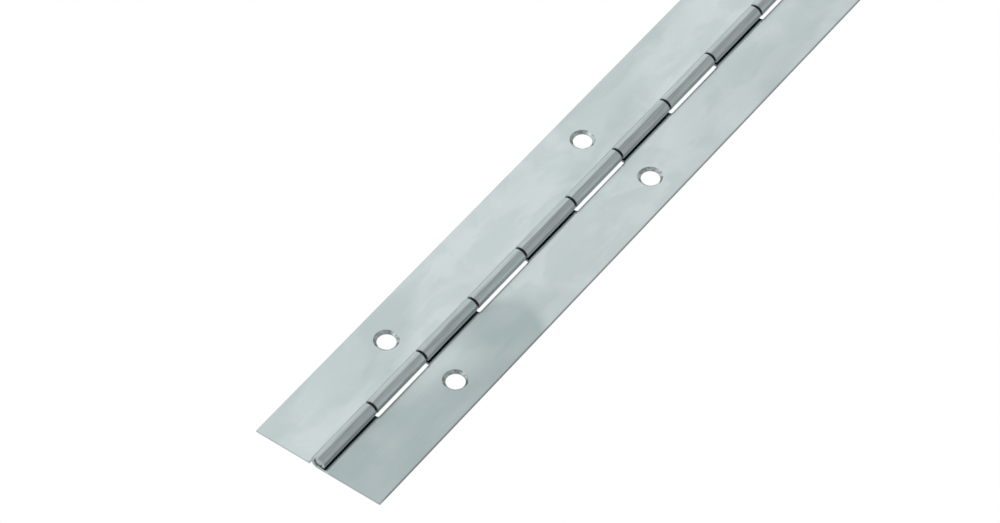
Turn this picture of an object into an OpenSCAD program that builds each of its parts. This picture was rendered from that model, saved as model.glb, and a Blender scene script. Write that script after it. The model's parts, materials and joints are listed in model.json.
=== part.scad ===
// Piano hinge: two long sheet-metal leaves, each with a row of knuckles rolled from its own edge,
// turning on one full-length pin. It is drawn opened flat.
//
// X runs along the pin, Z points away from the surface that the hinge is screwed to, and the
// origin is on the mounting face below the middle of the pin. The front leaf lies towards -Y and
// has the wide knuckles; the rear leaf lies towards +Y and has the narrow ones.

/* [Hinge] */
// Pairs of knuckles along the hinge, one of each leaf in a pair
pair_count = 8; // [2:2:20]
// Length of one pair of knuckles
pair_pitch = 35; // [30:1:60]
// Pin axis to the outer edge of a leaf
leaf_reach = 16; // [14:0.5:40]
// Thickness of the sheet that the leaves are made from
sheet = 0.7; // [0.5:0.1:1]

/* [Barrel] */
// Diameter of the pin
pin_d = 2; // [1.8:0.1:3]
// Play between the pin and the rolled sheet, on the radius
pin_play = 0.05; // [0.02:0.01:0.1]
// How far each end of the pin lies inside the barrel
pin_recess = 0.3; // [0:0.1:2]
// Chamfer on each end of the pin
pin_chamfer = 0.2; // [0.1:0.05:0.4]
// Length of a knuckle of the front leaf
wide_knuckle = 17.4; // [10:0.1:20]
// Gap between neighbouring knuckles
knuckle_gap = 0.5; // [0.1:0.05:0.6]
// Gap between the barrel and the edge of the notch that it turns in
notch_gap = 0.35; // [0.2:0.05:1]
// Where the rolled edge ends, in degrees below the height of the pin
seam_angle = 15; // [0:5:35]
// Fillet in the corners of a notch
notch_fillet = 0.4; // [0.2:0.1:0.6]

/* [Screw holes] */
// Diameter of a screw hole
hole_d = 4.2; // [3:0.1:4.5]
// Diameter of a countersink at the face of the leaf
countersink_d = 5.5; // [5:0.1:7]
// Straight wall left below a countersink
hole_land = 0.2; // [0.1:0.05:0.4]
// Pin axis to the centres of the screw holes
hole_reach = 9; // [8:0.5:10]

/* [Hidden] */
$fn = 96;
cut = 0.01; // how far a cutting tool runs past the face that it opens
weld = 0.5; // how far a knuckle's strip runs on into its leaf

hinge_length = pair_count * pair_pitch;
hole_pitch = 2 * pair_pitch;
hole_count = pair_count / 2;
narrow_knuckle = pair_pitch - wide_knuckle - 2 * knuckle_gap;
bore_r = pin_d / 2 + pin_play;
barrel_r = bore_r + sheet; // also the height of the pin axis above the mounting face
notch_reach = barrel_r + notch_gap; // pin axis to the edge of a notch

// Where each knuckle of a leaf begins and ends, measured from the -X end of the hinge. The first
// wide one and the last narrow one run on through their half gap to the end of the hinge.
wide_spans = [for (i = [0 : pair_count - 1])
    let (start = i * pair_pitch + knuckle_gap / 2)
    [i == 0 ? 0 : start, start + wide_knuckle]];
narrow_spans = [for (i = [0 : pair_count - 1])
    let (end = (i + 1) * pair_pitch - knuckle_gap / 2)
    [end - narrow_knuckle, i == pair_count - 1 ? hinge_length : end]];

// Turns a section drawn in the XY plane into a bar that runs along X: the section's x becomes Y
// and its y becomes Z.
module bar_along_x(bar_length) {
    rotate([90, 0, 90])
        linear_extrude(height = bar_length)
            children();
}

// Section of one knuckle. The sheet comes in flat along y = 0, passes under the pin and is rolled
// up, over and down again to its free edge.
module knuckle_section() {
    shadow = 2 * barrel_r; // larger than anything that it has to clear away
    difference() {
        translate([0, barrel_r])
            circle(r = barrel_r);
        translate([0, barrel_r])
            circle(r = bore_r);
        // the opening between the free edge and the leaf
        polygon([
            [0, barrel_r],
            [0, -cut],
            [shadow, -cut],
            [shadow, barrel_r - shadow * tan(seam_angle)]
        ]);
    }
    square([notch_reach + weld, sheet]);
}

// A fillet where the side of a knuckle's strip meets the edge of the notch, with its square
// corner at the origin and its arms along +X and -Y.
module corner_fillet() {
    difference() {
        translate([-cut, -notch_fillet])
            square([notch_fillet + cut, notch_fillet + cut]);
        translate([notch_fillet, -notch_fillet])
            circle(r = notch_fillet);
    }
}

module screw_hole() {
    translate([0, 0, -cut])
        cylinder(d = hole_d, h = sheet + 2 * cut);
    translate([0, 0, hole_land])
        cylinder(d1 = hole_d, d2 = countersink_d, h = sheet - hole_land + 0.001);
}

// The flat part of a leaf, from the notches out to its edge.
module leaf_plate() {
    translate([0, notch_reach, 0])
        cube([hinge_length, leaf_reach - notch_reach, sheet]);
}

module notch_fillets(spans) {
    linear_extrude(height = sheet)
        for (span = spans) {
            if (span[1] < hinge_length)
                translate([span[1], notch_reach])
                    corner_fillet();
            if (span[0] > 0)
                translate([span[0], notch_reach])
                    mirror([1, 0])
                        corner_fillet();
        }
}

// A leaf towards +Y, whose knuckles take up the spans.
module leaf(spans) {
    difference() {
        union() {
            leaf_plate();
            for (span = spans)
                translate([span[0], 0, 0])
                    bar_along_x(span[1] - span[0])
                        knuckle_section();
            notch_fillets(spans);
        }
        for (i = [0 : hole_count - 1])
            translate([(i + 0.5) * hole_pitch, hole_reach, 0])
                screw_hole();
    }
}

module centred_on_length() {
    translate([-hinge_length / 2, 0, 0])
        children();
}

module front_leaf() {
    color([0.72, 0.76, 0.76])
        centred_on_length()
            mirror([0, 1, 0])
                leaf(wide_spans);
}

module rear_leaf() {
    color([0.75, 0.79, 0.79])
        centred_on_length()
            leaf(narrow_spans);
}

module hinge_pin() {
    straight = hinge_length - 2 * (pin_recess + pin_chamfer);
    color([0.62, 0.65, 0.66])
        translate([-straight / 2, 0, barrel_r])
            rotate([0, 90, 0]) {
                cylinder(d = pin_d, h = straight);
                translate([0, 0, straight])
                    cylinder(d1 = pin_d, d2 = pin_d - 2 * pin_chamfer, h = pin_chamfer);
                translate([0, 0, -pin_chamfer])
                    cylinder(d1 = pin_d - 2 * pin_chamfer, d2 = pin_d, h = pin_chamfer);
            }
}

front_leaf();
rear_leaf();
hinge_pin();
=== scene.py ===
import json
import math

import bpy
import numpy as np
from mathutils import Matrix, Vector, noise


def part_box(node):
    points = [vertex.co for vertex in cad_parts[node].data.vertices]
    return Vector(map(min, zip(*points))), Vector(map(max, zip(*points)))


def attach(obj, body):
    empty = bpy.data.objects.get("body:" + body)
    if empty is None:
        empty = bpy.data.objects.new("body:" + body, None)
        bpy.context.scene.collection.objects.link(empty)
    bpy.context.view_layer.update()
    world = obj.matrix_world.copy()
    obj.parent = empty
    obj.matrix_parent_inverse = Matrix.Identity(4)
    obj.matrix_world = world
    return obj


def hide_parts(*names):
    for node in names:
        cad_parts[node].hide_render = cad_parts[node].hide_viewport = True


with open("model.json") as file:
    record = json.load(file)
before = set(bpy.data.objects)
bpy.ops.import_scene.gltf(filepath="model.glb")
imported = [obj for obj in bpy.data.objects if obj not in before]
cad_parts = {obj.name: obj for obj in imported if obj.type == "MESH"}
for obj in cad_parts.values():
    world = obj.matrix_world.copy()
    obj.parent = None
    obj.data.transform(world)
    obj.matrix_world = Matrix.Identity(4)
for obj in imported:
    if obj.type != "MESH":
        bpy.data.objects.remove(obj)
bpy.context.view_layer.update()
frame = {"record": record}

# ---------------------------------------------------------------- sizes
# Sizes are in millimetres and come from the CAD model where they can. Only the floor, the light and
# the camera are placed in metres.
MM = 0.001
SAME = 1e-6  # values closer than this are one and the same

front_low, front_high = (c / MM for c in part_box("front_leaf"))
pin_low, pin_high = (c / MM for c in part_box("hinge_pin"))
mounts = {m["name"]: m for m in frame["record"]["mounts"]}

LENGTH = front_high.x - front_low.x
REACH = -front_low.y  # pin axis to a leaf's outer edge
BARREL_R = front_high.z / 2
AXIS_Z = BARREL_R
PIN_R = (pin_high.z - pin_low.z) / 2
PIN_PLAY = 0.05  # between the pin and the rolled sheet, on the radius
SHEET = BARREL_R - PIN_R - PIN_PLAY
PIN_LENGTH = pin_high.x - pin_low.x

PAIRS = 8  # pairs of knuckles
PITCH = LENGTH / PAIRS
GAP = 0.5  # between neighbouring knuckles
WIDE = 17.4  # length of a knuckle of the front leaf
NARROW = PITCH - WIDE - 2 * GAP
NOTCH_GAP = 0.35  # between the barrel and the edge of a notch
NOTCH = BARREL_R + NOTCH_GAP  # pin axis to the edge of a notch
FILLET = 0.4  # in the corners of a notch
SWEEP = math.radians(285)  # how far the sheet is rolled, from under the pin to its free edge
FREE_EDGE = -SWEEP * BARREL_R  # where the rolled sheet ends, measured back along it from under the pin

HOLE_R = mounts["front_leaf_inner_screws"]["dims"]["hole_r_mm"]
HOLE_V = -mounts["front_leaf_inner_screws"]["pos_m"][1] / MM  # pin axis to a screw hole
HOLE_U = sorted(
    LENGTH / 2 + side * mounts[name]["dims"]["spacing_x_mm"] / 2
    for name in ("front_leaf_inner_screws", "front_leaf_outer_screws")
    for side in (-1, 1)
)
COUNTERSINK_R = 2.75
LAND = 0.2  # straight wall below the countersink

EDGE = 0.12  # rounding of the punched edges
KNUCKLE_EDGE = 0.28  # rounding of the knuckles' ends
KNUCKLE_EDGE_FADE = 0.6  # how far from the free edge a knuckle's end is fully rounded
HOLE_ROUNDING = (0.16, 0.08, 0.07)  # of a screw hole's three corners, from the front to the back
BARE_AND_SHADED_EDGE = 1.0  # how dark the punched edges are painted: unplated steel, with painted shade on top
BARE_AND_SHADED_END = 0.4  # and within END_ZONE of the hinge's ends, less, so that the end faces are painted lighter, as if lit
END_ZONE = 1.0
BARE_AND_SHADED_HOLE = 0.75  # and on the straight wall of a screw hole: unplated steel and painted shade
ON_RADIUS = 0.05  # how far off a hole's radius a point may be and still count as on it
BOW = 0.035  # how far the sheet bows out of flat
BOW_START = 0.5  # where the bow begins, beyond the edge of a notch
BOW_GROWTH = 3  # and over what width it grows to its full size
DENT = 0.04  # how far the knuckles are out of round
CREASE = 0.05  # how far the painted shade beside the barrel reaches out over a leaf

# How far apart a leaf's rows and columns of points are at most
STEP_ALONG = 1.6
STEP_ACROSS = 0.8
STEP_ROLLED = 0.23
STEP_NEAR_HOLE = 0.62
# How far in from each kind of edge the first row or column of points lies
INSET_END = 0.3
INSET_KNUCKLE = 0.5
INSET_FREE_EDGE = 0.22
INSET_OUTER_EDGE = 0.4
BLOCK = 4.0  # half the square of sheet around a screw hole that is meshed in rings
RING = 0.6  # how far the outermost round ring lies outside the countersink
ARC_PART = 22.5  # a notch's corner is an arc of four equal parts, this many degrees each
# How far the arc's second and fourth points lie from where the notch's corner would be square
ARC_STEP = FILLET - (FILLET + EDGE) * math.sin(math.radians(ARC_PART))


# ---------------------------------------------------------------- mesh tools
def spread(stops, step):
    """The stops, and evenly spaced values between any that are further apart than step allows."""
    values = [stops[0]]
    for a, b in zip(stops, stops[1:]):
        count = max(1, math.ceil((b - a) / step((a + b) / 2) - SAME))
        values += [a + (b - a) * k / count for k in range(1, count + 1)]
    return values


def rounded(corners, cuts, parts=3):
    """A polyline with a curve in place of each inner corner, which starts one of the cuts before it
    and ends as far after it."""
    points = [np.array(corners[0], float)]
    for before, corner, after, cut in zip(corners, corners[1:], corners[2:], cuts):
        before, corner, after = (np.array(p, float) for p in (before, corner, after))
        a = corner + (before - corner) * min(1, cut / np.linalg.norm(before - corner))
        b = corner + (after - corner) * min(1, cut / np.linalg.norm(after - corner))
        for k in range(parts + 1):
            s = k / parts
            points.append((1 - s) ** 2 * a + 2 * s * (1 - s) * corner + s * s * b)
    points.append(np.array(corners[-1], float))
    return points


def make_object(name, points, faces, attributes=()):
    """A mesh object from points in millimetres. Its normals are weighted by face area, so that flats
    stay flat."""
    mesh = bpy.data.meshes.new(name)
    mesh.from_pydata([tuple(p * MM) for p in points], [], faces)
    mesh.validate(clean_customdata=False)
    mesh.update()
    for label, values in attributes:
        mesh.attributes.new(label, "FLOAT", "POINT").data.foreach_set(
            "value", np.array(values, np.float32)
        )
    normals = np.zeros((len(mesh.vertices), 3))
    for polygon in mesh.polygons:
        normals[list(polygon.vertices)] += np.array(polygon.normal) * polygon.area
    normals /= np.maximum(np.linalg.norm(normals, axis=1, keepdims=True), 1e-12)
    mesh.shade_smooth()
    mesh.normals_split_custom_set_from_vertices([tuple(n) for n in normals])
    piece = bpy.data.objects.new(name, mesh)
    bpy.context.scene.collection.objects.link(piece)
    return piece


# ---------------------------------------------------------------- leaves
def wide_spans():
    """Where the front leaf's knuckles begin and end along the hinge."""
    starts = [k * PITCH + GAP / 2 for k in range(PAIRS)]
    return [(0 if k == 0 else s, s + WIDE) for k, s in enumerate(starts)]


def narrow_spans():
    """Where the rear leaf's knuckles begin and end along the hinge."""
    ends = [(k + 1) * PITCH - GAP / 2 for k in range(PAIRS)]
    return [(e - NARROW, LENGTH if k == PAIRS - 1 else e) for k, e in enumerate(ends)]


def edge_rounding(u, v):
    """How much the sheet's edge is rounded: most on the sides of a knuckle, fading out before its
    free edge and on the flat, and no more than anywhere else at the ends, where the hinge was cut
    to length."""
    if u < SAME or u > LENGTH - SAME:
        return EDGE
    rolled = min(1, 1 - v / (NOTCH - FILLET), (v - FREE_EDGE) / KNUCKLE_EDGE_FADE)
    return EDGE + (KNUCKLE_EDGE - EDGE) * max(0, rolled)


def on_arc(edge, out, turn):
    """A point on the arc in a notch's corner. Turn is 0 at the notch's edge and a right angle at the
    knuckle's side."""
    r = FILLET + EDGE
    return (
        edge + out * (FILLET - r * math.sin(turn)),
        NOTCH - FILLET + r * math.cos(turn),
    )


def unit_wave(wave):
    """A wave about 0, cut off at 1 either way and brought to between 0 and 1."""
    return 0.5 + 0.5 * max(-1, min(1, wave))


class LeafMesh:
    """One leaf as a closed mesh, laid out on the flat blank that it was made from.

    u runs along the hinge from its -X end. v runs across the blank: it is the distance from the pin
    axis on the flat part, and falls below zero on the part that is rolled round the pin. w is the
    height within the sheet, from its back.
    """

    def __init__(self, spans, side, seed):
        self.spans, self.side, self.seed = spans, side, seed
        self.points, self.cut, self.sink = [], [], []
        self.faces = []
        self.columns = self.make_columns()
        self.rows = self.make_rows()
        self.build()

    def make_columns(self):
        """Where the grid's columns of points are along the hinge."""
        stops = {0, LENGTH, INSET_END, LENGTH - INSET_END}
        for start, end in self.spans:
            if start > 0:
                stops |= {start, start - ARC_STEP, start - FILLET, start + INSET_KNUCKLE}
            if end < LENGTH:
                stops |= {end, end + ARC_STEP, end + FILLET, end - INSET_KNUCKLE}
        for hole in HOLE_U:
            stops |= {hole - BLOCK, hole + BLOCK}

        def step(u):
            near_hole = any(abs(u - hole) < BLOCK for hole in HOLE_U)
            return STEP_NEAR_HOLE if near_hole else STEP_ALONG

        return spread(sorted(stops), step)

    def make_rows(self):
        """Where the grid's rows of points are across the blank, from its free edge."""
        rolled = [FREE_EDGE, FREE_EDGE + INSET_FREE_EDGE, 0]
        flat = [NOTCH - FILLET, NOTCH - ARC_STEP, NOTCH]
        plate = [HOLE_V - BLOCK, HOLE_V + BLOCK, REACH - INSET_OUTER_EDGE, REACH]

        def step(v):
            if v < 0:
                return STEP_ROLLED
            return STEP_NEAR_HOLE if abs(v - HOLE_V) < BLOCK else STEP_ACROSS

        return spread(rolled + flat + plate, step)

    def is_sheet(self, u, v):
        """Whether there is sheet at a place on the blank, and not a notch."""
        on_knuckle = any(start - SAME <= u <= end + SAME for start, end in self.spans)
        return v > NOTCH or on_knuckle

    def cell_middle(self, i, j):
        """The middle of a cell of the grid."""
        u = (self.columns[i] + self.columns[i + 1]) / 2
        v = (self.rows[j] + self.rows[j + 1]) / 2
        return u, v

    def place(self, u, v):
        """Moves a grid point in from the blank's outline, and onto the arcs in the notches' corners."""
        e = edge_rounding(u, v)
        new_u, new_v = u, v
        if u < SAME:
            new_u = e
        elif u > LENGTH - SAME:
            new_u = LENGTH - e
        if v > REACH - SAME:
            new_v = REACH - e
        elif v < self.rows[0] + SAME:
            new_v = v + e
        if v > NOTCH + SAME:
            return new_u, new_v
        for start, end in self.spans:
            for edge, out in ((start, -1), (end, 1)):
                if not 0 < edge < LENGTH:
                    continue
                beyond = (u - edge) * out  # distance into the notch
                if abs(v - NOTCH) < SAME and -SAME < beyond < FILLET + SAME:
                    turns = {0: 2 * ARC_PART, ARC_STEP: ARC_PART, FILLET: 0}
                    turn = next(t for d, t in turns.items() if abs(d - beyond) < SAME)
                    return on_arc(edge, out, math.radians(turn))
                if abs(beyond) < SAME:
                    if v > NOTCH - FILLET + SAME:
                        return on_arc(edge, out, math.radians(3 * ARC_PART))
                    return edge - out * e, new_v
        if abs(v - NOTCH) < SAME:
            new_v = NOTCH + EDGE
        return new_u, new_v

    def add(self, u, v, w, cut=0.0, sink=0.0):
        """A point of the mesh, with how far it is on a cut edge and on a countersink."""
        self.points.append((u, v, w))
        self.cut.append(cut)
        self.sink.append(sink)
        return len(self.points) - 1

    def build(self):
        """Fills in the front and the back, then joins them round the outline and the screw holes."""
        grid = {}

        def corner(i, j):
            if (i, j) not in grid:
                u, v = self.place(self.columns[i], self.rows[j])
                grid[i, j] = (self.add(u, v, SHEET), self.add(u, v, 0.0))
            return grid[i, j]

        cells = [
            (i, j)
            for i in range(len(self.columns) - 1)
            for j in range(len(self.rows) - 1)
            if self.is_sheet(*self.cell_middle(i, j))
        ]
        edges = set()
        for i, j in cells:
            ring = [(i, j), (i + 1, j), (i + 1, j + 1), (i, j + 1)]
            edges |= set(zip(ring, ring[1:] + ring[:1]))
            if not self.in_block(i, j):
                ids = [corner(*key) for key in ring]
                self.faces.append([top for top, _ in ids])
                self.faces.append([back for _, back in reversed(ids)])
        self.round_the_outline([e for e in edges if e[::-1] not in edges], corner)
        for hole in HOLE_U:
            self.screw_hole(hole, corner)

    def in_block(self, i, j):
        """Whether a cell of the grid lies in the square of sheet around a screw hole."""
        u, v = self.cell_middle(i, j)
        return abs(v - HOLE_V) < BLOCK and any(abs(u - hole) < BLOCK for hole in HOLE_U)

    def round_the_outline(self, edges, corner):
        """Joins the front to the back round the blank's outline, with both edges rounded."""
        following = dict(edges)
        start = min(following)
        loop = [start]
        while following[loop[-1]] != start:
            loop.append(following[loop[-1]])
        tops = [corner(*key)[0] for key in loop]
        backs = [corner(*key)[1] for key in loop]
        flat = np.array([self.points[t][:2] for t in tops])
        along = np.roll(flat, -1, 0) - flat
        along /= np.linalg.norm(along, axis=1, keepdims=True)
        out = np.stack([along[:, 1], -along[:, 0]], 1)
        out = out + np.roll(out, 1, 0)
        out /= np.linalg.norm(out, axis=1, keepdims=True)
        turn = np.sum(out * np.stack([along[:, 1], -along[:, 0]], 1), 1)
        out /= np.maximum(turn, 0.8)[:, None]  # a sharp corner comes out a little blunt
        steps = [(math.radians(a), True) for a in (30, 60, 90)]
        steps += [(math.radians(a), False) for a in (90, 60, 30)]
        rings = [tops]
        for angle, upper in steps:
            ring = []
            for (u, v), (du, dv), key in zip(flat, out, loop):
                e = edge_rounding(self.columns[key[0]], self.rows[key[1]])
                deep = e * (1 - math.cos(angle))
                w = SHEET - deep if upper else deep
                wide = e * math.sin(angle)
                # How dark a cut edge is painted: unplated steel and painted shade, less near the
                # hinge's ends so that they are painted lighter, as if lit.
                bare_and_shaded = BARE_AND_SHADED_END if u < END_ZONE or u > LENGTH - END_ZONE else BARE_AND_SHADED_EDGE
                ring.append(self.add(u + du * wide, v + dv * wide, w, bare_and_shaded * math.sin(angle) ** 2))
            rings.append(ring)
        self.join(rings + [backs], inward=False)

    def join(self, rings, inward):
        """Quads between closed rings of points, from the front one on. Seen from the front, each ring
        runs anticlockwise."""
        for a, b in zip(rings, rings[1:]):
            for k in range(len(a)):
                m = (k + 1) % len(a)
                if inward:
                    self.faces.append([a[k], a[m], b[m], b[k]])
                else:
                    self.faces.append([a[k], b[k], b[m], a[m]])

    def screw_hole(self, hole, corner):
        """A countersunk hole, in rings from the square of sheet around it, down its wall and out
        across the back."""
        inside = [i for i, u in enumerate(self.columns) if abs(u - hole) < BLOCK + SAME]
        across = [j for j, v in enumerate(self.rows) if abs(v - HOLE_V) < BLOCK + SAME]
        i0, i1, j0, j1 = inside[0], inside[-1], across[0], across[-1]
        square = [(i, j0) for i in range(i0, i1)] + [(i1, j) for j in range(j0, j1)]
        square += [(i, j1) for i in range(i1, i0, -1)] + [(i0, j) for j in range(j1, j0, -1)]
        tops = [corner(*key)[0] for key in square]
        backs = [corner(*key)[1] for key in square]
        rim = np.array([self.points[t][:2] for t in tops]) - (hole, HOLE_V)
        turns = np.unwrap(np.arctan2(rim[:, 1], rim[:, 0]))
        even = np.arange(len(rim)) * 2 * math.pi / len(rim)
        even += np.mean(turns - even)
        circle = np.stack([np.cos(even), np.sin(even)], 1)
        outer_r = COUNTERSINK_R + RING
        profile = rounded(
            [
                (outer_r, SHEET),
                (COUNTERSINK_R, SHEET),
                (HOLE_R, LAND),
                (HOLE_R, 0),
                (outer_r, 0),
            ],
            HOLE_ROUNDING,
            parts=4,
        )
        rings = [tops]
        for share in (0.3, 0.65):
            rings.append(self.blended(hole, rim, circle * outer_r, share, SHEET))
        for r, w in profile:
            on_wall = r < HOLE_R + ON_RADIUS and 0 < w < LAND
            on_sink = HOLE_R + ON_RADIUS < r < COUNTERSINK_R + ON_RADIUS and w > LAND
            # The hole's straight wall is painted darker: unplated steel and painted shade.
            cut = BARE_AND_SHADED_HOLE if on_wall else 0.0
            sink = 1.0 if on_sink else 0.0
            rings.append([self.add(hole + x * r, HOLE_V + y * r, w, cut, sink) for x, y in circle])
        for share in (0.65, 0.3):
            rings.append(self.blended(hole, rim, circle * outer_r, share, 0.0))
        self.join(rings + [backs], inward=True)

    def blended(self, hole, rim, circle, share, w):
        """A ring between a square's rim and a circle in it. The share is how much of it is circle."""
        return [
            self.add(hole + x, HOLE_V + y, w)
            for x, y in rim * (1 - share) + circle * share
        ]

    def bow(self, u, v):
        """How far the flat sheet stands off its back plane: a few hundredths of a millimetre."""
        fade = min(1, max(0, (v - NOTCH - BOW_START) / BOW_GROWTH)) ** 2
        wave = noise.noise(Vector((u / 23, v / 13, self.seed)))
        return BOW * fade * unit_wave(1.6 * wave)

    def solid(self):
        """The points where they end up, flat or rolled round the pin."""
        placed = []
        for u, v, w in self.points:
            x = u - LENGTH / 2
            if v >= 0:
                placed.append((x, self.side * v, w + self.bow(u, v)))
            else:
                turn = -v / BARREL_R
                wave = noise.noise(Vector((u / 7.0, turn * 1.1, self.seed)))
                wave += 0.35 * noise.noise(Vector((u / 2.2, turn * 2.3, self.seed + 5)))
                dent = DENT * unit_wave(1.5 * wave)
                dent *= min(1, turn)
                r = BARREL_R - w - dent
                placed.append(
                    (x, -self.side * r * math.sin(turn), AXIS_Z - r * math.cos(turn))
                )
        return np.array(placed)

    def object(self, name):
        faces = self.faces if self.side > 0 else [f[::-1] for f in self.faces]
        attributes = [("cut_edge", self.cut), ("countersink", self.sink)]
        return make_object(name, self.solid(), faces, attributes)


# ---------------------------------------------------------------- pin
PIN_DOME = 0.03  # how far each end is domed
PIN_FACE_R = 0.75  # radius of an end, inside its chamfer
PIN_CHAMFER = 0.2
PIN_END = 3.0  # the stretch at each end that has points of its own
PIN_ROUNDING = (0.1, 0.06, 0.5)  # of the outline's corners, from the end inwards
SHEARED = 0.25  # how far in the sheared end's look reaches


def pin_object(name, segments=64):
    """The pin, turned from a half outline. Its ends are chamfered and very slightly domed."""
    half = PIN_LENGTH / 2
    outline = rounded(
        [
            (half, 0),
            (half - PIN_DOME, PIN_FACE_R),
            (half - PIN_CHAMFER, PIN_R),
            (half - PIN_END, PIN_R),
            (0, PIN_R),
        ],
        PIN_ROUNDING,
        parts=4,
    )
    outline = outline[1:] + [np.array((-x, r)) for x, r in reversed(outline[1:-1])]
    points = [
        (x, r * math.cos(a), AXIS_Z + r * math.sin(a))
        for x, r in outline
        for a in np.arange(segments) * 2 * math.pi / segments
    ]
    faces = []
    for k in range(len(outline) - 1):
        for s in range(segments):
            n = (s + 1) % segments
            a, b = k * segments, (k + 1) * segments
            faces.append([a + s, b + s, b + n, a + n])
    far = len(points)
    points += [(half, 0, AXIS_Z), (-half, 0, AXIS_Z)]
    last = (len(outline) - 1) * segments
    for s in range(segments):
        n = (s + 1) % segments
        faces.append([far, s, n])
        faces.append([far + 1, last + n, last + s])
    ends = [1.0 if abs(x) > half - SHEARED else 0.0 for x, _, _ in points]
    return make_object(name, np.array(points), faces, [("cut_edge", ends)])


# ---------------------------------------------------------------- materials
class Nodes:
    """A short way to write a node tree: every method adds a node and gives its output."""

    def __init__(self, name):
        self.material = bpy.data.materials.new(name)
        self.material.use_nodes = True
        self.tree = self.material.node_tree
        self.shader = self.tree.nodes["Principled BSDF"]

    def node(self, kind, output=0, settings=(), **inputs):
        """Any node. An input goes by its name, or by i and its number."""
        made = self.tree.nodes.new(kind)
        for key, value in dict(settings).items():
            setattr(made, key, value)
        for key, value in inputs.items():
            index = int(key[1:]) if key[1:].isdigit() else key.replace("_", " ")
            socket = made.inputs[index]
            if isinstance(value, bpy.types.NodeSocket):
                self.tree.links.new(value, socket)
            else:
                socket.default_value = value
        return made.outputs[output]

    def vector(self, operation, a, b):
        return self.node("ShaderNodeVectorMath", settings={"operation": operation}, i0=a, i1=b)

    def place(self, scale):
        """The piece's own coordinates, in millimetres, with each axis scaled."""
        coordinates = self.node("ShaderNodeTexCoord", "Object")
        return self.vector("MULTIPLY", coordinates, [s / MM for s in scale])

    def noise(self, place, detail, roughness, distortion=0.0):
        return self.node(
            "ShaderNodeTexNoise",
            Vector=place,
            Scale=1.0,
            Detail=detail,
            Roughness=roughness,
            Distortion=distortion,
        )

    def math(self, operation, a, b=0.0, clamp=False):
        return self.node(
            "ShaderNodeMath",
            settings={"operation": operation, "use_clamp": clamp},
            i0=a,
            i1=b,
        )

    def ramp(self, value, low, high, to_low=0.0, to_high=1.0):
        """A smooth change from one result to another as the value goes from low to high."""
        return self.node(
            "ShaderNodeMapRange",
            settings={"interpolation_type": "SMOOTHSTEP"},
            i0=value,
            i1=low,
            i2=high,
            i3=to_low,
            i4=to_high,
        )

    def mix(self, factor, a, b):
        """Colour a turned into colour b by the factor."""
        made = self.tree.nodes.new("ShaderNodeMix")
        made.data_type = "RGBA"
        for index, value in ((0, factor), (6, a), (7, b)):
            if isinstance(value, bpy.types.NodeSocket):
                self.tree.links.new(value, made.inputs[index])
            else:
                made.inputs[index].default_value = value
        return made.outputs[2]

    def bump(self, height, distance, normal=None):
        """Relief of a height in millimetres, on top of any that is there already."""
        made = self.tree.nodes.new("ShaderNodeBump")
        made.inputs["Strength"].default_value = 1.0
        made.inputs["Distance"].default_value = distance * MM
        self.tree.links.new(height, made.inputs["Height"])
        if normal is not None:
            self.tree.links.new(normal, made.inputs["Normal"])
        return made.outputs[0]

    def set(self, **inputs):
        """Sets inputs of the surface's shader."""
        for key, value in inputs.items():
            socket = self.shader.inputs[key.replace("_", " ")]
            if isinstance(value, bpy.types.NodeSocket):
                self.tree.links.new(value, socket)
            else:
                socket.default_value = value


STAIN_END = 0.22 * LENGTH  # from the -X end to where the front leaf's stain stops


def tone(red, green, blue, level=1.0):
    """A colour at a level of brightness."""
    return (red * level, green * level, blue * level, 1)


def front_stain(n, along, across, clouds):
    """How dull the front leaf is near its -X end: dull over the corner, lighter for a stretch, then
    duller again in a stain that stops at a bulging line."""
    wander = n.math("MULTIPLY", n.math("SUBTRACT", clouds, 0.5), 12.0)
    from_end = n.math("ADD", n.math("ADD", along, LENGTH / 2), wander)
    slant = n.math("SUBTRACT", from_end, n.math("MULTIPLY", across, 1.9))
    corner = n.ramp(slant, 0.12 * STAIN_END, 0.5 * STAIN_END, 0.95, 0.20)
    lean = n.math("ADD", from_end, n.math("MULTIPLY", across, 0.6))
    stain = n.ramp(lean, 0.66 * STAIN_END, 0.98 * STAIN_END, 0.0, 0.65)
    off_middle = n.math("SUBTRACT", across, 0.6 * REACH)
    bulge = n.math("MULTIPLY", n.math("MULTIPLY", off_middle, off_middle), 0.10)
    line = n.math("ADD", from_end, bulge)
    within = n.ramp(line, 0.95 * STAIN_END, 1.04 * STAIN_END, 1.0, 0.0)
    return n.math("MULTIPLY", n.math("ADD", corner, stain), within)


def painted_highlight_strip(n, along, across, knuckle, strength):
    """A painted highlight: a brighter strip on the front leaf beside each of its knuckles."""
    in_pair = n.math("FLOORED_MODULO", n.math("ADD", along, LENGTH / 2), PITCH)
    beside = n.ramp(in_pair, WIDE, WIDE + 0.5, strength, 0.0)
    strip = n.math("MULTIPLY", beside, n.math("SUBTRACT", 1.0, knuckle))
    strip = n.math("MULTIPLY", strip, n.ramp(across, BARREL_R + 0.15, BARREL_R + 0.4))
    return n.math("MULTIPLY", strip, n.ramp(across, BARREL_R + 0.5, BARREL_R + 1.2, 1.0, 0.0))


def painted_crease_shade(n, across, height, edge, strength):
    """Painted shade: the dark line where a leaf's top face runs in under its knuckles. It leaves out
    the cut edges.
    """
    crease = n.ramp(across, BARREL_R - 0.02, BARREL_R + CREASE, strength, 0.0)
    crease = n.math("MULTIPLY", crease, n.ramp(across, 0.6 * BARREL_R, 0.8 * BARREL_R))
    crease = n.math("MULTIPLY", crease, n.ramp(height, SHEET + 0.1, SHEET + 0.3, 1.0, 0.0))
    crease = n.math("MULTIPLY", crease, n.ramp(height, 0.5 * SHEET, 0.9 * SHEET))
    return n.math("MULTIPLY", crease, n.ramp(edge, 0.0, 0.3, 1.0, 0.0))


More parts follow.
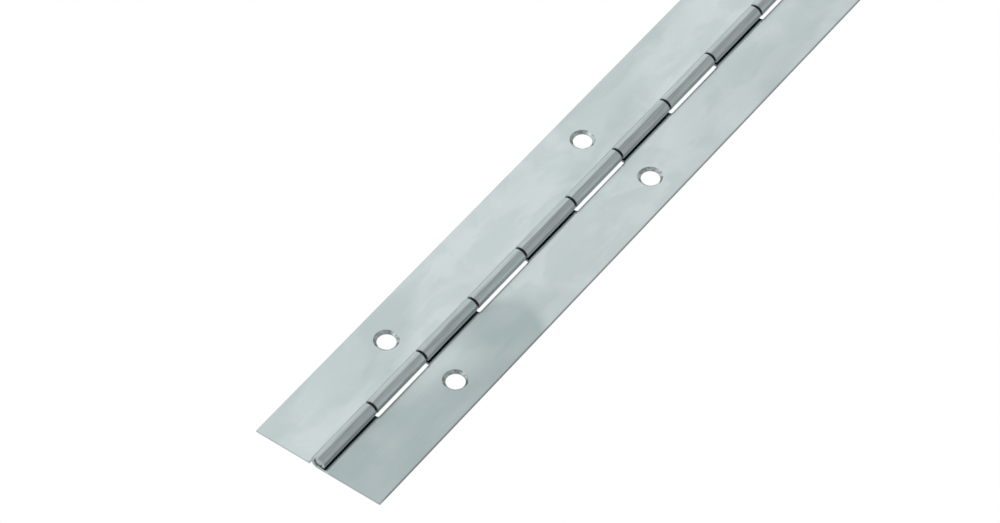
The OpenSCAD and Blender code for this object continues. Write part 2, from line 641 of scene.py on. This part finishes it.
def zinc_sheet(name, offset, cloudy, shine, barrel, crease_shade_strength, stained=False, highlight_strength=0.0):
    """Bright zinc on rolled steel sheet: soft clouds, drawn lines on the knuckles, painted shade in the
    crease where the sheet runs in under them, a painted highlight beside them on the front leaf,
    blotchy countersinks and unplated steel on the cut edges, darkened further as painted shade.

    The offset gives a leaf clouds of its own. Cloudy is how dull they are, shine and barrel are how
    light the flat and the knuckles are, the next is how dark the painted shade in the crease is, and
    the last is how bright the painted highlight on the strip beside the knuckles is.
    """
    n = Nodes(name)
    here = n.place((1, 1, 1))
    shifted = n.vector("ADD", here, offset)
    along = n.node("ShaderNodeSeparateXYZ", 0, Vector=here)
    across = n.math("ABSOLUTE", n.node("ShaderNodeSeparateXYZ", 1, Vector=here))
    height = n.node("ShaderNodeSeparateXYZ", 2, Vector=here)
    knuckle = n.ramp(height, SHEET + 0.1, SHEET + 0.5)
    edge = n.node("ShaderNodeAttribute", 2, settings={"attribute_name": "cut_edge"})
    sink = n.node("ShaderNodeAttribute", 2, settings={"attribute_name": "countersink"})

    clouds = n.noise(n.vector("MULTIPLY", shifted, (0.028, 0.06, 0.06)), 2.0, 0.4, 0.4)
    soft = n.noise(n.vector("MULTIPLY", shifted, (0.07, 0.16, 0.16)), 3.0, 0.5, 0.3)
    patches = n.noise(n.vector("MULTIPLY", shifted, (0.075, 0.13, 0.13)), 3.0, 0.5, 0.6)
    burr = n.noise(n.place((1.1, 1.1, 1.1)), 3.0, 0.6)
    grain = n.noise(n.place((0.08, 6.0, 6.0)), 3.0, 0.6)
    drawn = n.noise(n.place((0.12, 2.6, 2.6)), 4.0, 0.65)
    mottle = n.noise(n.place((2.2, 2.2, 2.2)), 3.0, 0.6)

    clouded = n.math("MULTIPLY", n.ramp(clouds, 0.40, 0.66), cloudy)
    if stained:
        clouded = n.math("ADD", clouded, front_stain(n, along, across, clouds), clamp=True)

    light = tone(0.745, 0.815, 0.822, shine)
    dull = tone(0.505, 0.585, 0.590, shine)
    colour = n.mix(clouded, light, dull)
    colour = n.mix(n.ramp(soft, 0.35, 0.75, 0.0, 0.25), colour, light)
    colour = n.mix(n.ramp(patches, 0.40, 0.60, 0.0, 0.28), colour, dull)
    colour = n.mix(n.ramp(mottle, 0.3, 0.7, 0.0, 0.06), colour, tone(0.48, 0.53, 0.53))
    worn = n.ramp(drawn, 0.36, 0.66, 0.0, 1.0)
    roll = n.mix(worn, tone(0.705, 0.785, 0.785, barrel), tone(0.575, 0.64, 0.64, barrel))
    colour = n.mix(knuckle, colour, roll)
    # Painted highlight: a brighter strip on the flat beside the front leaf's knuckles.
    if highlight_strength:
        strip = painted_highlight_strip(n, along, across, knuckle, highlight_strength)
        colour = n.mix(strip, colour, tone(0.93, 0.99, 1.0))
    blotches = n.math("MULTIPLY", sink, n.ramp(burr, 0.38, 0.60, 0.15, 0.90))
    colour = n.mix(blotches, colour, tone(0.26, 0.285, 0.29))
    # Painted shade: a near-black line where the leaf's top face runs in under its knuckles.
    crease = painted_crease_shade(n, across, height, edge, crease_shade_strength)
    colour = n.mix(crease, colour, tone(0.05, 0.055, 0.06))
    # Unplated steel on the cut edges, darkened further as painted shade.
    colour = n.mix(n.math("MULTIPLY", edge, 0.9), colour, tone(0.15, 0.16, 0.165))

    rough = n.ramp(clouded, 0.0, 1.0, 0.19, 0.24)
    rough = n.math("ADD", rough, n.ramp(grain, 0.3, 0.7, -0.02, 0.03))
    rough = n.math("ADD", rough, n.math("MULTIPLY", knuckle, 0.01))
    rough = n.math("ADD", rough, n.math("MULTIPLY", edge, 0.15))

    normal = n.bump(clouds, 0.30)
    normal = n.bump(grain, 0.0006, normal=normal)
    normal = n.bump(n.math("MULTIPLY", drawn, knuckle), 0.010, normal=normal)
    normal = n.bump(mottle, 0.003, normal=normal)
    n.set(Base_Color=colour, Metallic=1.0, Roughness=rough, Normal=normal)
    return n.material


def pin_steel(name):
    """Drawn steel wire, with a sheared end."""
    n = Nodes(name)
    steel = (0.97, 1.0, 1.01)
    lines = n.noise(n.place((0.1, 5.0, 5.0)), 3.0, 0.6)
    shear = n.noise(n.place((3.0, 2.0, 9.0)), 3.0, 0.6)
    end = n.node("ShaderNodeAttribute", 2, settings={"attribute_name": "cut_edge"})
    colour = n.mix(n.ramp(lines, 0.3, 0.7), tone(*steel, 0.30), tone(*steel, 0.22))
    sheared = n.math("MULTIPLY", n.ramp(shear, 0.35, 0.65, 0.6, 1.0), end)
    colour = n.mix(sheared, colour, tone(*steel, 0.50))
    rough = n.ramp(lines, 0.3, 0.7, 0.26, 0.36)
    normal = n.bump(lines, 0.003)
    normal = n.bump(n.math("MULTIPLY", shear, end), 0.02, normal=normal)
    n.set(Base_Color=colour, Metallic=1.0, Roughness=rough, Normal=normal)
    return n.material


# ---------------------------------------------------------------- pieces
front = LeafMesh(wide_spans(), -1, seed=1.7).object("front_leaf_sheet")
rear = LeafMesh(narrow_spans(), 1, seed=8.3).object("rear_leaf_sheet")
pin = pin_object("pin_wire")

front_zinc = zinc_sheet(
    "zinc_front",
    offset=(0, 0, 0),
    cloudy=0.35,
    shine=0.885,
    barrel=0.76,
    crease_shade_strength=0.5,
    stained=True,
    highlight_strength=0.5,
)
rear_zinc = zinc_sheet(
    "zinc_rear",
    offset=(75, 31, 7),
    cloudy=0.42,
    shine=0.925,
    barrel=0.80,
    crease_shade_strength=0.3,
)
front.data.materials.append(front_zinc)
rear.data.materials.append(rear_zinc)
pin.data.materials.append(pin_steel("pin_steel"))

for piece, node, body, slot in (
    (front, "front_leaf", "front_leaf_body", "zinc_sheet"),
    (rear, "rear_leaf", "rear_leaf_body", "zinc_sheet"),
    (pin, "hinge_pin", "front_leaf_body", "pin_steel"),
):
    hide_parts(node)
    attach(piece, body)


# ---------------------------------------------------------------- floor, light and camera
FLOOR_DROP = 0.3  # from the hinge down to the floor
FLOOR_HALF = 3.0  # half the floor's side
floor_mesh = bpy.data.meshes.new("floor")
floor_mesh.from_pydata(
    [(x * FLOOR_HALF, y * FLOOR_HALF, -FLOOR_DROP) for x, y in ((-1, -1), (1, -1), (1, 1), (-1, 1))],
    [],
    [(0, 1, 2, 3)],
)
floor = bpy.data.objects.new("floor", floor_mesh)
bpy.context.scene.collection.objects.link(floor)
lit_paper = Nodes("floor")
lit_paper.set(
    Base_Color=(0, 0, 0, 1),
    Specular_IOR_Level=0.0,
    Emission_Color=(1, 1, 1, 1),
    Emission_Strength=1.0,
)
floor_mesh.materials.append(lit_paper.material)


# How bright the studio is from each direction. The first number is how far the direction points
# towards +Y, from -1 on the camera's side to 1 beyond the hinge.
STUDIO_LEVELS = ((-1.0, 0.66), (-0.50, 0.56), (0.19, 0.52), (0.37, 0.95), (1.0, 0.95))


def studio_world():
    """An even studio: bright behind the hinge, greyer on the camera's side."""
    world = bpy.data.worlds.new("studio")
    bpy.context.scene.world = world
    world.use_nodes = True
    tree = world.node_tree
    background = tree.nodes["Background"]
    where = tree.nodes.new("ShaderNodeTexCoord")
    split = tree.nodes.new("ShaderNodeSeparateXYZ")
    ramp = tree.nodes.new("ShaderNodeValToRGB")
    ramp.color_ramp.interpolation = "EASE"
    place = tree.nodes.new("ShaderNodeMapRange")  # -1..1 to 0..1
    place.inputs["From Min"].default_value = -1
    elements = ramp.color_ramp.elements
    while len(elements) < len(STUDIO_LEVELS):
        elements.new(1.0)
    for element, (position, level) in zip(elements, STUDIO_LEVELS):
        element.position = (position + 1) / 2
        element.color = (level, level, level, 1)
    tree.links.new(where.outputs["Generated"], split.inputs[0])
    tree.links.new(split.outputs[1], place.inputs["Value"])
    tree.links.new(place.outputs[0], ramp.inputs["Fac"])
    tree.links.new(ramp.outputs["Color"], background.inputs["Strength"])
    background.inputs["Color"].default_value = (0.985, 1.0, 1.003, 1)


def softbox(name, towards, distance, size, watts, target):
    """A soft rectangular light in a direction from the target, facing it."""
    data = bpy.data.lights.new(name, "AREA")
    data.shape = "RECTANGLE"
    data.size, data.size_y = size
    data.energy = watts
    light = bpy.data.objects.new(name, data)
    bpy.context.scene.collection.objects.link(light)
    direction = Vector(towards).normalized()
    light.location = target + direction * distance
    light.rotation_euler = direction.to_track_quat("Z", "Y").to_euler()


VIEW_TURN = math.radians(53.556)  # from looking along +Y, round towards +X
VIEW_RISE = math.radians(49.491)  # how steeply the camera looks down
VIEW_DISTANCE = 0.98182  # from the camera to the middle of the view
VIEW_RIGHT = 0.037248  # from the pin's near end to the middle of the view, across the picture
VIEW_UP = 0.041221  # and up it
VIEW_FOCAL = 4.8101  # focal length over the picture's width


def photo_camera():
    """The camera at the photograph's viewing angle. It gives the middle of the view."""
    right = Vector((math.cos(VIEW_TURN), -math.sin(VIEW_TURN), 0))
    level = Vector((math.sin(VIEW_TURN), math.cos(VIEW_TURN), 0))
    up = level * math.sin(VIEW_RISE) + Vector((0, 0, math.cos(VIEW_RISE)))
    back = -level * math.cos(VIEW_RISE) + Vector((0, 0, math.sin(VIEW_RISE)))
    near_end = Vector((-LENGTH / 2, 0, AXIS_Z)) * MM
    target = near_end + right * VIEW_RIGHT + up * VIEW_UP
    data = bpy.data.cameras.new("camera")
    data.sensor_width = 36
    data.sensor_fit = "HORIZONTAL"
    data.lens = VIEW_FOCAL * data.sensor_width
    data.clip_start, data.clip_end = 0.01, 20
    camera = bpy.data.objects.new("camera", data)
    bpy.context.scene.collection.objects.link(camera)
    camera.matrix_world = Matrix.Translation(target + back * VIEW_DISTANCE) @ Matrix(
        (right, up, back)
    ).transposed().to_4x4()
    bpy.context.scene.camera = camera
    return target


bpy.context.scene.view_settings.view_transform = "Standard"
studio_world()
middle = photo_camera()
softbox("overhead", (-0.60, 0.39, 0.70), 1.1, (0.7, 0.7), 0.5, middle)
